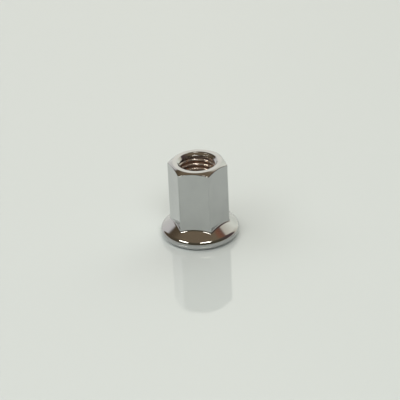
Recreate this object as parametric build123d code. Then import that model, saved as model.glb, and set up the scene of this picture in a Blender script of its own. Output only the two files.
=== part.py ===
from build123d import *
import math
import os

# An exhaust nut: a tall hexagon and a round coned flange forged in one piece,
# then faced, bored, threaded and chromium plated. It screws onto a stud and
# clamps a pipe flange with its flat seat.
# Sizes are in millimetres. The bore lies on the Z axis and the seat on Z = 0.

# Thread: the bore is plain, at the thread's minor diameter
thread_diameter = 10.0
thread_pitch = 1.25

# Hexagon, with a pair of flats square to Y
across_flats = 13.0
hexagon_corner_radius = 0.55
nut_height = 20.0
top_face_diameter = 12.1
top_chamfer_angle = 30.0

# Flange: a cone that falls from the hexagon to a fully rounded rim
flange_diameter = 19.4
flange_cone_angle = 32.0
rim_radius = 1.4
flange_root_radius = 0.65

# Countersinks that lead into the bore, and the break left on their edges
top_countersink_diameter = 10.0
seat_countersink_diameter = 10.6
countersink_angle = 90.0
edge_break = 0.12

# Worked out from the sizes above
MINOR_DIAMETER_FACTOR = 1.082532  # of an ISO metric thread, in pitches
bore_radius = (thread_diameter - MINOR_DIAMETER_FACTOR * thread_pitch) / 2
flat_radius = across_flats / 2
corner_reach = across_flats / math.sqrt(3)
flange_slope = math.radians(flange_cone_angle)
rim_centre_radius = flange_diameter / 2 - rim_radius
cone_foot_radius = rim_centre_radius + rim_radius * math.sin(flange_slope)
cone_foot_height = rim_radius + rim_radius * math.cos(flange_slope)

CUT_OVER = 1.0  # how far a cutting tool runs past the face it opens
FLAT_MIDDLE = 30.0  # degrees from X to the middle of a flat, where turned seams go


def turned(section):
    """A solid turned about the bore from its half section in X and Z."""
    return revolve(section, Axis.Z).rotate(Axis.Z, FLAT_MIDDLE)


def half_section(*points):
    """A half section with straight sides, points given as (radius, height)."""
    with BuildSketch(Plane.XZ) as section:
        with BuildLine():
            Polyline(*points, close=True)
        make_face()
    return section.sketch


def cone_height(radius):
    """Height of the flange's cone at a distance from the bore's axis."""
    return cone_foot_height + (cone_foot_radius - radius) * math.tan(flange_slope)


def hexagon():
    """The wrench hexagon, rounded along its corners, up from the rim's widest."""
    outline = RegularPolygon(radius=flat_radius, side_count=6, major_radius=False)
    outline = fillet(outline.vertices(), hexagon_corner_radius)
    return Pos(0, 0, rim_radius) * extrude(outline, nut_height - rim_radius)


def faced_blank():
    """What facing leaves at the top: a flat ring with a coned shoulder round it."""
    face_radius = top_face_diameter / 2
    reach = corner_reach + CUT_OVER
    shoulder_drop = (reach - face_radius) * math.tan(math.radians(top_chamfer_angle))
    return turned(
        half_section(
            (0, -CUT_OVER),
            (reach, -CUT_OVER),
            (reach, nut_height - shoulder_drop),
            (face_radius, nut_height),
            (0, nut_height),
        )
    )


def flange():
    """The round flange: seat, rim rounded from seat to cone, cone up to the bore."""
    seat_edge = (rim_centre_radius, 0)
    rim_point = (rim_centre_radius + rim_radius, rim_radius)
    cone_foot = (cone_foot_radius, cone_foot_height)
    cone_top = (bore_radius, cone_height(bore_radius))
    with BuildSketch(Plane.XZ) as section:
        with BuildLine():
            Line((0, 0), seat_edge)
            ThreePointArc(seat_edge, rim_point, cone_foot)
            Polyline(cone_foot, cone_top, (0, cone_top[1]), (0, 0))
        make_face()
    return turned(section.sketch)


def bore():
    """The bore as cut: a plain hole with a countersink at each end."""
    half_angle = math.radians(countersink_angle / 2)
    top_radius = top_countersink_diameter / 2
    seat_radius = seat_countersink_diameter / 2
    top_depth = (top_radius - bore_radius) / math.tan(half_angle)
    seat_depth = (seat_radius - bore_radius) / math.tan(half_angle)
    return turned(
        half_section(
            (0, -CUT_OVER),
            (seat_radius, -CUT_OVER),
            (seat_radius, 0),
            (bore_radius, seat_depth),
            (bore_radius, nut_height - top_depth),
            (top_radius, nut_height),
            (top_radius, nut_height + CUT_OVER),
            (0, nut_height + CUT_OVER),
        )
    )


def edges_between(body, low, high):
    """The curved edges that lie wholly between two heights."""
    return [
        edge
        for edge in body.edges()
        if edge.geom_type != GeomType.LINE
        and edge.bounding_box().min.Z > low
        and edge.bounding_box().max.Z < high
    ]


def exhaust_nut():
    """Hexagon and flange joined by a rolled root, then bored and deburred."""
    margin = edge_break / 2
    body = (hexagon() & faced_blank()) + flange()
    root = edges_between(body, cone_height(corner_reach) - margin, cone_height(flat_radius) + margin)
    body = fillet(root, flange_root_radius)
    body = body - bore()
    face_rings = edges_between(body, nut_height - margin, nut_height + margin)
    body = fillet(face_rings, edge_break)
    seat_rings = edges_between(body, -margin, margin)
    seat_lead_in = min(seat_rings, key=lambda edge: edge.length)
    return fillet(seat_lead_in, edge_break)


os.makedirs("parts", exist_ok=True)
export_step(exhaust_nut(), "parts/exhaust_nut.step")
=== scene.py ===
import math

import bpy
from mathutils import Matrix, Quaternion, Vector


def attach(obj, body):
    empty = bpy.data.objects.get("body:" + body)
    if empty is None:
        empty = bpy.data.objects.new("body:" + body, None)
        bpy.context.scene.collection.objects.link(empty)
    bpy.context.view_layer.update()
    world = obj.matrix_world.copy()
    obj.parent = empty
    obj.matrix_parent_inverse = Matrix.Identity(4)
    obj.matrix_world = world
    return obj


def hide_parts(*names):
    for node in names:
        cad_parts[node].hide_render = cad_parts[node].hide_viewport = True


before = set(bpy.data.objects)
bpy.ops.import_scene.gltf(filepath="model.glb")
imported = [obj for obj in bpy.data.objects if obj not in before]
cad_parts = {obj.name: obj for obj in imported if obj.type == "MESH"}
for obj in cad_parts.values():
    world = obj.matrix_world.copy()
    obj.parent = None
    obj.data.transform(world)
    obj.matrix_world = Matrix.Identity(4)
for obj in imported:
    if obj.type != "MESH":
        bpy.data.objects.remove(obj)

bpy.context.view_layer.update()


# The blank of the nut. A steel hexagon, 13 mm across its flats, stands on a wide coned flange with a
# fully rounded rim. It is headed from bar in one piece, and its top corners are turned off at 30
# degrees. Every size is in millimetres until the finished nut is brought to metres.
across_flats = 13.0
corner_radius = 0.55
nut_height = 20.0
top_face_radius = 6.05
top_chamfer = math.radians(30)
flange_radius = 9.7
flange_cone = math.radians(32)
rim_radius = 1.4
flange_root_radius = 0.65
shoulder_round = 0.25
round_steps = 288
rim_steps = 40
corner_steps = 12
root_steps = 10
shoulder_steps = 6
merge_distance = 1e-4
cut_weld = 5e-4
flange_weld = 8e-3
radius_slack = 0.01
height_slack = 2e-3
clearance = 1
half_corner = math.radians(30)


def select_nothing():
    bpy.ops.object.select_all(action='DESELECT')


def draw_section(name, points):
    select_nothing()
    bpy.ops.mesh.primitive_plane_add(size=1)
    section = bpy.context.object
    section.name = name
    bpy.ops.object.mode_set(mode='EDIT')
    bpy.ops.mesh.select_mode(type='VERT')
    bpy.ops.mesh.select_all(action='SELECT')
    bpy.ops.mesh.merge(type='CENTER')
    radius, height = points[0]
    bpy.ops.transform.translate(value=(radius, 0, height))
    for next_radius, next_height in points[1:]:
        step = (next_radius - radius, 0, next_height - height)
        bpy.ops.mesh.extrude_region_move(TRANSFORM_OT_translate={"value": step})
        radius, height = next_radius, next_height
    return section


def turned(name, points):
    blank = draw_section(name, points)
    bpy.ops.mesh.select_all(action='SELECT')
    bpy.ops.mesh.spin(steps=round_steps, angle=math.tau, center=(0, 0, 0), axis=(0, 0, 1))
    bpy.ops.mesh.select_all(action='SELECT')
    bpy.ops.mesh.remove_doubles(threshold=merge_distance)
    bpy.ops.mesh.normals_make_consistent(inside=False)
    bpy.ops.object.mode_set(mode='OBJECT')
    return blank


def combine(piece, tool, operation, weld=cut_weld):
    select_nothing()
    piece.select_set(True)
    bpy.context.view_layer.objects.active = piece
    cut = piece.modifiers.new("cut", 'BOOLEAN')
    cut.operation = operation
    cut.object = tool
    cut.solver = 'EXACT'
    bpy.ops.object.modifier_apply(modifier=cut.name)
    bpy.data.objects.remove(tool)
    bpy.ops.object.mode_set(mode='EDIT')
    bpy.ops.mesh.select_all(action='SELECT')
    bpy.ops.mesh.remove_doubles(threshold=weld)
    bpy.ops.object.mode_set(mode='OBJECT')


def round_edges(piece, chosen, radius, turn, segments):
    select_nothing()
    piece.select_set(True)
    bpy.context.view_layer.objects.active = piece
    bpy.ops.object.mode_set(mode='EDIT')
    bpy.ops.mesh.select_mode(type='EDGE')
    bpy.ops.mesh.select_all(action='DESELECT')
    bpy.ops.object.mode_set(mode='OBJECT')
    places = [v.co for v in piece.data.vertices]
    for edge in piece.data.edges:
        edge.select = all(chosen(places[i]) for i in edge.vertices)
    bpy.ops.object.mode_set(mode='EDIT')
    bpy.ops.mesh.bevel(offset=radius * math.tan(turn / 2), offset_type='OFFSET',
                       segments=segments, affect='EDGES', profile=0.5, clamp_overlap=False)
    bpy.ops.object.mode_set(mode='OBJECT')


def arc(centre, radius, start, end, steps):
    angles = [start + (end - start) * i / steps for i in range(steps + 1)]
    return [(centre[0] + radius * math.cos(a), centre[1] + radius * math.sin(a)) for a in angles]


corner_reach = across_flats / math.sqrt(3)
select_nothing()
bpy.ops.mesh.primitive_cylinder_add(vertices=6, radius=corner_reach, depth=nut_height - rim_radius,
                                    location=(0, 0, (nut_height + rim_radius) / 2),
                                    rotation=(0, 0, half_corner))
nut = bpy.context.object
nut.name = "plated_nut"
bpy.ops.object.transform_apply(location=True, rotation=True, scale=True)
select_nothing()
nut.select_set(True)
bpy.ops.object.mode_set(mode='EDIT')
bpy.ops.mesh.select_mode(type='EDGE')
bpy.ops.mesh.select_all(action='DESELECT')
bpy.ops.object.mode_set(mode='OBJECT')
for edge in nut.data.edges:
    foot, head = (nut.data.vertices[i].co for i in edge.vertices)
    edge.select = abs(foot.z - head.z) > clearance
bpy.ops.object.mode_set(mode='EDIT')
bpy.ops.mesh.bevel(offset=corner_radius * math.tan(half_corner), offset_type='OFFSET',
                   segments=corner_steps, affect='EDGES', profile=0.5)
bpy.ops.object.mode_set(mode='OBJECT')

blank_radius = corner_reach + clearance
shoulder_foot = 0.5
shoulder_drop = (blank_radius - top_face_radius) * math.tan(top_chamfer)
shoulder = turned("shoulder", [(0, shoulder_foot), (blank_radius, shoulder_foot),
                               (blank_radius, nut_height - shoulder_drop),
                               (top_face_radius, nut_height), (0, nut_height)])
combine(nut, shoulder, 'INTERSECT')

rim_centre = (flange_radius - rim_radius, rim_radius)
cone_normal = math.pi / 2 - flange_cone
rim = arc(rim_centre, rim_radius, -math.pi / 2, cone_normal, rim_steps)
cone_foot = rim[-1]
flange_core = 3


def cone_height(radius):
    return cone_foot[1] + (cone_foot[0] - radius) * math.tan(flange_cone)


flange_top = [(flange_core, cone_height(flange_core)), (0, cone_height(flange_core))]
combine(nut, turned("flange", [(0, 0)] + rim + flange_top), 'UNION', weld=flange_weld)


def at_flange_root(place):
    radius = place.xy.length
    on_cone = abs(place.z - cone_height(radius)) < height_slack
    return across_flats / 2 - radius_slack < radius < corner_reach and on_cone


round_edges(nut, at_flange_root, flange_root_radius, cone_normal, root_steps)


def at_shoulder_edge(place):
    radius = place.xy.length
    line = nut_height - (radius - top_face_radius) * math.tan(top_chamfer)
    return radius > across_flats / 2 - radius_slack and abs(place.z - line) < height_slack


round_edges(nut, at_shoulder_edge, shoulder_round, math.pi / 2 - top_chamfer, shoulder_steps)

bpy.ops.object.mode_set(mode='EDIT')
bpy.ops.mesh.select_all(action='SELECT')
flat_enough = math.radians(0.05)
bpy.ops.mesh.dissolve_limited(angle_limit=flat_enough)
bpy.ops.object.mode_set(mode='OBJECT')


# The bore and its thread. The hole goes right through, countersunk at both ends, and is tapped M10 for
# the exhaust stud: a right-hand thread of 1.25 mm pitch whose crests are rounded by the plating.
bore_radius = 4.3234
thread_radius = 4.94
thread_pitch = 1.25
thread_turn = math.radians(-40)
top_countersink_radius = 5.0
seat_countersink_radius = 5.3
edge_break = 0.12
mouth_round = 0.25
mouth_steps = 6
break_steps = 4
ring_slack = 1e-3
overcut = 0.5
tip_depth = 0.1
tip_gap = 0.02

for mouth, height, inward in ((top_countersink_radius, nut_height, -1), (seat_countersink_radius, 0, 1)):
    round_depth = mouth - bore_radius + mouth_round * (math.sqrt(2) - 1)
    tip = round_depth + tip_depth
    depths = [(0, tip), (bore_radius - tip_gap, tip)]
    depths += arc((bore_radius + mouth_round, round_depth), mouth_round,
                  math.pi, math.radians(225), mouth_steps)
    depths += [(mouth + overcut, -overcut), (0, -overcut)]
    cone = [(radius, height + inward * depth) for radius, depth in depths]
    if inward > 0:
        cone.reverse()
    combine(nut, turned("countersink", cone), 'DIFFERENCE')


def ring(radius, height):
    def on_ring(place):
        return abs(place.z - height) < ring_slack and abs(place.xy.length - radius) < radius_slack
    return on_ring


round_edges(nut, ring(top_face_radius, nut_height), edge_break, top_chamfer, break_steps)
countersink_turn = math.radians(45)
round_edges(nut, ring(top_countersink_radius, nut_height), edge_break, countersink_turn, break_steps)
round_edges(nut, ring(seat_countersink_radius, 0), edge_break, countersink_turn, break_steps)

flank = math.radians(30)
crest_round = 0.25
root_round = 0.08
crest_half = thread_pitch / 8
root_half = thread_pitch / 16
crest_back = crest_round * math.tan(flank)
root_back = root_round * math.tan(flank)
thread_steps = 96
crest_steps = 8
groove_steps = 3
turns_below = 3
spare_turns = 4
tap_overrun = 0.7
crest = arc((bore_radius + crest_round, crest_half - crest_back), crest_round,
            math.pi, math.pi / 2 + flank, crest_steps)
root = arc((thread_radius - root_round, thread_pitch / 2 - root_half + root_back), root_round,
           flank - math.pi / 2, 0, groove_steps)
rising = crest + root
falling = [(radius, thread_pitch - height) for radius, height in reversed(rising)]
tap = draw_section("tap", rising + falling + [(bore_radius, thread_pitch + rising[0][1])])
bpy.ops.object.mode_set(mode='OBJECT')
helix = tap.modifiers.new("helix", 'SCREW')
helix.axis = 'Z'
helix.screw_offset = thread_pitch
helix.iterations = math.ceil(nut_height / thread_pitch) + spare_turns
helix.steps = thread_steps
helix.render_steps = thread_steps
bpy.ops.object.modifier_apply(modifier="helix")
bpy.ops.object.mode_set(mode='EDIT')
bpy.ops.mesh.select_all(action='SELECT')
bpy.ops.mesh.remove_doubles(threshold=merge_distance)
bpy.ops.transform.translate(value=(0, 0, -turns_below * thread_pitch))
bpy.ops.transform.rotate(value=-thread_turn, orient_axis='Z', center_override=(0, 0, 0))
for height, side in ((-tap_overrun, 'below'), (nut_height + tap_overrun, 'above')):
    bpy.ops.mesh.select_all(action='SELECT')
    bpy.ops.mesh.bisect(plane_co=(0, 0, height), plane_no=(0, 0, 1), use_fill=True,
                        clear_inner=side == 'below', clear_outer=side == 'above')
bpy.ops.mesh.select_all(action='SELECT')
bpy.ops.mesh.normals_make_consistent(inside=False)
bpy.ops.object.mode_set(mode='OBJECT')
combine(nut, tap, 'DIFFERENCE')

select_nothing()
nut.select_set(True)
bpy.context.view_layer.objects.active = nut
bpy.ops.object.mode_set(mode='EDIT')
bpy.ops.mesh.select_all(action='SELECT')
bpy.ops.mesh.normals_make_consistent(inside=False)
millimetre = 0.001
crease = math.radians(25)
bpy.ops.transform.resize(value=(millimetre,) * 3, center_override=(0, 0, 0))
bpy.ops.object.mode_set(mode='OBJECT')
bpy.ops.object.shade_smooth_by_angle(angle=crease, keep_sharp_edges=False)
flats = nut.modifiers.new("flats", 'WEIGHTED_NORMAL')
flats.keep_sharp = True
flats.weight = 95
bpy.ops.object.modifier_apply(modifier="flats")


# The plating. Bright chrome over nickel on the outside, a little hazy in clouds, with faint drawing
# lines up the flats and turning lines round the flange. It hardly reaches into the bore, where the
# tapped steel is brown, duller and rougher. Along the crests of its thread the steel is coloured near
# white, partly as burnished steel and partly as a painted highlight that brightens the lamp glints
# there.
chrome = (0.56, 0.566, 0.564)
hazy_chrome = (0.53, 0.537, 0.535)
tapped_steel = (0.58, 0.43, 0.34)
stained_steel = (0.38, 0.26, 0.2)
# Near-white crest colour: partly burnished steel, partly a painted highlight on the thread crests.
burnished_steel_and_painted_highlight = (0.98, 0.9, 0.82)
chrome_roughness = 0.06
haze_roughness = 0.1
steel_roughness = 0.1
steel_metallic = 0.85
roughness_of_stains = 0.08
cloud_scale = 260
stain_scale = 700
line_scale = 9000
wave_scale = 320
wave_height = 0.000008
line_height = 0.0000002
torn_height = 0.000008
hole_fade = (0.00505, 0.0049)
mouth_fade = (0.0194, 0.0175)
seat_fade = (0.0004, 0.001)
flats_fade = (0.0077, 0.0074)
crest_highlight_fade = (0.0045, 0.0044)
clouds_fade = (0.35, 0.7)
stains_fade = (0.35, 0.65)


def new_node(tree, kind, **settings):
    node = tree.nodes.new(kind)
    for name, value in settings.items():
        setattr(node, name, value)
    return node


def feed(tree, socket, value):
    if isinstance(value, tuple):
        socket.default_value = (*value, 1) if socket.type == 'RGBA' else value
    elif isinstance(value, (int, float)):
        socket.default_value = value
    elif value is not None:
        tree.links.new(value, socket)


def maths(tree, operation, first, second=None):
    node = new_node(tree, 'ShaderNodeMath', operation=operation)
    feed(tree, node.inputs[0], first)
    feed(tree, node.inputs[1], second)
    return node.outputs[0]


def vectors(tree, operation, first, second=None):
    node = new_node(tree, 'ShaderNodeVectorMath', operation=operation)
    feed(tree, node.inputs[0], first)
    feed(tree, node.inputs[1], second)
    return node.outputs['Value'] if operation == 'LENGTH' else node.outputs[0]


def fade(tree, value, start, end, low=0.0, high=1.0):
    node = new_node(tree, 'ShaderNodeMapRange', interpolation_type='SMOOTHSTEP')
    feed(tree, node.inputs['Value'], value)
    node.inputs['From Min'].default_value = start
    node.inputs['From Max'].default_value = end
    node.inputs['To Min'].default_value = low
    node.inputs['To Max'].default_value = high
    return node.outputs[0]


def blend(tree, factor, first, second):
    node = new_node(tree, 'ShaderNodeMix', data_type='RGBA')
    feed(tree, node.inputs['Factor'], factor)
    for name, value in (('A', first), ('B', second)):
        feed(tree, [s for s in node.inputs if s.name == name and s.type == 'RGBA'][0], value)
    return [s for s in node.outputs if s.type == 'RGBA'][0]


def grain(tree, position, scale, detail):
    node = new_node(tree, 'ShaderNodeTexNoise')
    feed(tree, node.inputs['Vector'], position)
    node.inputs['Scale'].default_value = scale
    node.inputs['Detail'].default_value = detail
    return node.outputs['Fac']


def raised(tree, height, distance, under=None):
    node = new_node(tree, 'ShaderNodeBump')
    node.inputs['Distance'].default_value = distance
    feed(tree, node.inputs['Height'], height)
    feed(tree, node.inputs['Normal'], under)
    return node.outputs['Normal']


plating = bpy.data.materials.new("chrome_plating")
plating.use_nodes = True
metal = plating.node_tree
metal.nodes.clear()
place = new_node(metal, 'ShaderNodeTexCoord').outputs['Object']
from_axis = vectors(metal, 'LENGTH', vectors(metal, 'MULTIPLY', place, (1, 1, 0)))
split = new_node(metal, 'ShaderNodeSeparateXYZ')
feed(metal, split.inputs[0], place)
level = split.outputs['Z']
in_hole = fade(metal, from_axis, *hole_fade)
past_mouth = fade(metal, level, *mouth_fade)
past_seat = fade(metal, level, *seat_fade)
unplated = maths(metal, 'MULTIPLY', in_hole, maths(metal, 'MULTIPLY', past_mouth, past_seat))
on_flats = fade(metal, from_axis, *flats_fade)

clouds = fade(metal, grain(metal, place, cloud_scale, 3), *clouds_fade)
stains = fade(metal, grain(metal, place, stain_scale, 4), *stains_fade)
up_lines = grain(metal, vectors(metal, 'MULTIPLY', place, (1, 1, 0.02)), line_scale, 2)
rings = new_node(metal, 'ShaderNodeCombineXYZ')
feed(metal, rings.inputs['X'], from_axis)
feed(metal, rings.inputs['Y'], level)
round_lines = grain(metal, rings.outputs[0], line_scale, 2)
lines = new_node(metal, 'ShaderNodeMix')
feed(metal, lines.inputs['Factor'], on_flats)
feed(metal, lines.inputs['A'], round_lines)
feed(metal, lines.inputs['B'], up_lines)

skin = blend(metal, clouds, chrome, hazy_chrome)
# Painted highlight: the thread crests, picked out by their distance from the axis, are coloured lighter
# than the groove flanks so the lamp glints on them look stronger; partly burnished steel.
crest_highlight_mask = fade(metal, from_axis, *crest_highlight_fade)
steel = blend(metal, stains, tapped_steel, stained_steel)
steel = blend(metal, crest_highlight_mask, steel, burnished_steel_and_painted_highlight)
chrome_gloss = fade(metal, clouds, 0, 1, chrome_roughness, haze_roughness)
steel_gloss = fade(metal, stains, 0, 1, steel_roughness, steel_roughness + roughness_of_stains)
gloss_mix = new_node(metal, 'ShaderNodeMix')
feed(metal, gloss_mix.inputs['Factor'], unplated)
feed(metal, gloss_mix.inputs['A'], chrome_gloss)
feed(metal, gloss_mix.inputs['B'], steel_gloss)
waves = raised(metal, grain(metal, place, wave_scale, 1), wave_height)
scored = raised(metal, lines.outputs['Result'], line_height, waves)
torn = maths(metal, 'MULTIPLY', round_lines, unplated)
shine = new_node(metal, 'ShaderNodeBsdfPrincipled')
feed(metal, shine.inputs['Base Color'], blend(metal, unplated, skin, steel))
feed(metal, shine.inputs['Roughness'], gloss_mix.outputs['Result'])
feed(metal, shine.inputs['Normal'], raised(metal, torn, torn_height, scored))
feed(metal, shine.inputs['Metallic'], fade(metal, unplated, 0, 1, 1, steel_metallic))
surface = new_node(metal, 'ShaderNodeOutputMaterial')
feed(metal, surface.inputs['Surface'], shine.outputs['BSDF'])
nut.data.materials.clear()
nut.data.materials.append(plating)
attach(nut, "root")
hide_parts("exhaust_nut")


# The table. A smooth, pale top with a hard and glossy coat, far wider than the nut, which stands on it
# on its flange, seat down.
table_colour = (0.67, 0.725, 0.72)
table_roughness = 0.05
table_ior = 1.7
table_width = 3

select_nothing()
bpy.ops.mesh.primitive_plane_add(size=table_width, location=(0, 0, 0))
table = bpy.context.object
table.name = "table_top"
gloss = bpy.data.materials.new("pale_gloss")
gloss.use_nodes = True
gloss.node_tree.nodes.clear()
paint = new_node(gloss.node_tree, 'ShaderNodeBsdfPrincipled')
paint.inputs['Base Color'].default_value = (*table_colour, 1)
paint.inputs['Roughness'].default_value = table_roughness
paint.inputs['IOR'].default_value = table_ior
top = new_node(gloss.node_tree, 'ShaderNodeOutputMaterial')
feed(gloss.node_tree, top.inputs['Surface'], paint.outputs['BSDF'])
table.data.materials.append(gloss)


# The room. Bright beyond the nut, and brown and dim over it and on the side it is seen from. Two long
# lamps high in front show only in the plating, and broad soft fills light the table. Directions are
# azimuth and elevation about the nut, in degrees, azimuth being counted from the viewer's side.
viewer_azimuth = -79.86

room = bpy.data.worlds.new("room")
bpy.context.scene.world = room
room.use_nodes = True
walls = room.node_tree
walls.nodes.clear()


def colours_round(value, stops):
    node = new_node(walls, 'ShaderNodeValToRGB')
    feed(walls, node.inputs['Fac'], value)
    ramp = node.color_ramp
    while len(ramp.elements) > 1:
        ramp.elements.remove(ramp.elements[-1])
    for number, (azimuth, colour) in enumerate(stops):
        position = azimuth / 360 + 0.5
        stop = ramp.elements[0] if number == 0 else ramp.elements.new(position)
        stop.position = position
        stop.color = (*colour, 1)
    return node.outputs['Color']


direction = new_node(walls, 'ShaderNodeTexCoord').outputs['Generated']
turn = new_node(walls, 'ShaderNodeVectorRotate', rotation_type='Z_AXIS')
turn.inputs['Angle'].default_value = math.radians(-viewer_azimuth)
walls.links.new(direction, turn.inputs['Vector'])
parts = new_node(walls, 'ShaderNodeSeparateXYZ')
walls.links.new(turn.outputs[0], parts.inputs[0])
azimuth = maths(walls, 'DEGREES', maths(walls, 'ARCTAN2', parts.outputs['Y'], parts.outputs['X']))
elevation = maths(walls, 'DEGREES', maths(walls, 'ARCSINE', parts.outputs['Z']))
round_turn = maths(walls, 'ADD', maths(walls, 'DIVIDE', azimuth, 360), 0.5)

pale = colours_round(round_turn, [(-180, (1.05, 1.02, 0.93)), (-160, (0.85, 0.84, 0.79)),
                                  (-130, (0.76, 0.72, 0.72)), (-60, (0.6, 0.6, 0.55)),
                                  (60, (0.6, 0.6, 0.55)), (115, (0.72, 0.66, 0.56)),
                                  (140, (1.02, 1.03, 0.92)), (158, (0.84, 0.86, 0.78)),
                                  (180, (1.05, 1.02, 0.93))])
dim_low = colours_round(round_turn, [(-180, (0.12, 0.08, 0.045)), (-110, (0.11, 0.08, 0.05)),
                                     (-60, (0.085, 0.075, 0.05)), (60, (0.085, 0.075, 0.05)),
                                     (90, (0.1, 0.07, 0.07)), (180, (0.1, 0.07, 0.07))])
slanted = maths(walls, 'ADD', elevation, maths(walls, 'MULTIPLY', azimuth, 0.6))
reddish = maths(walls, 'MULTIPLY', fade(walls, azimuth, 92, 103), fade(walls, slanted, 121, 125, 1, 0))
dim_high = blend(walls, reddish, (0.225, 0.172, 0.115), (0.3, 0.13, 0.075))
dim = blend(walls, fade(walls, elevation, 38, 66), dim_low, dim_high)
left_edge = fade(walls, azimuth, -133, -127)
right_edge = fade(walls, azimuth, 111, 116, 1, 0)
in_front = maths(walls, 'MULTIPLY', left_edge, right_edge)
over = fade(walls, elevation, 64, 72)
above = fade(walls, elevation, 2, 8)
dim_part = maths(walls, 'MAXIMUM', maths(walls, 'MULTIPLY', in_front, above), over)
glow = new_node(walls, 'ShaderNodeBackground')
walls.links.new(blend(walls, dim_part, pale, dim), glow.inputs['Color'])
glow.inputs['Strength'].default_value = 1
sky = new_node(walls, 'ShaderNodeOutputWorld')
walls.links.new(glow.outputs[0], sky.inputs['Surface'])


lamp_radiance = 18
lamp_distance = 2


def soft_lamp(name, azimuth, elevation, width, height, radiance, colour,
              mirrored=True, diffuse=True):
    lamp = bpy.data.lights.new(name, 'AREA')
    lamp.shape = 'ELLIPSE'
    lamp.size = 2 * lamp_distance * math.tan(math.radians(width / 2))
    lamp.size_y = 2 * lamp_distance * math.tan(math.radians(height / 2))
    area = math.pi / 4 * lamp.size * lamp.size_y
    lamp.energy = radiance * math.pi * area
    lamp.color = colour
    holder = bpy.data.objects.new(name, lamp)
    bpy.context.collection.objects.link(holder)
    around = math.radians(azimuth + viewer_azimuth)
    up = math.radians(elevation)
    towards = Vector((math.cos(up) * math.cos(around), math.cos(up) * math.sin(around), math.sin(up)))
    holder.location = lamp_distance * towards
    holder.rotation_mode = 'QUATERNION'
    holder.rotation_quaternion = (-towards).to_track_quat('-Z', 'Y')
    holder.visible_glossy = mirrored
    holder.visible_diffuse = diffuse


soft_lamp("left_lamp", -60, 44, 26, 5, lamp_radiance, (1, 0.95, 0.87), diffuse=False)
soft_lamp("right_lamp", 17.5, 54, 25, 5, lamp_radiance, (1, 0.95, 0.87), diffuse=False)
soft_lamp("left_fill", -60, 46, 26, 22, 2.5, (1, 0.99, 0.95), mirrored=False)
soft_lamp("right_fill", 17.5, 50, 26, 22, 4.3, (1, 0.99, 0.95), mirrored=False)
soft_lamp("front_fill", -20, 48, 70, 60, 0.95, (1, 1, 1), mirrored=False)
soft_lamp("window_fill", -105, 44, 40, 32, 2.2, (1, 1, 0.98), mirrored=False)
soft_lamp("far_fill", 150, 40, 50, 36, 0.65, (1, 1, 0.98), mirrored=False)
bpy.context.scene.view_settings.view_transform = 'Standard'


# The camera. A long lens half a metre away, looking down on the nut, and turned a little about its
# own axis.
lens = bpy.data.cameras.new("camera")
lens.lens = 187.53
lens.sensor_width = 36
lens.clip_start = 0.01
lens.clip_end = 10
camera = bpy.data.objects.new("camera", lens)
bpy.context.collection.objects.link(camera)
camera.location = (0.078668, -0.439942, 0.261697)
camera.rotation_mode = 'QUATERNION'
look = Vector((-0.15275, 0.85706, -0.49206))
roll = Quaternion((0, 0, 1), math.radians(-2.713))
camera.rotation_quaternion = look.to_track_quat('-Z', 'Y') @ roll
bpy.context.scene.camera = camera

bpy.context.view_layer.update()
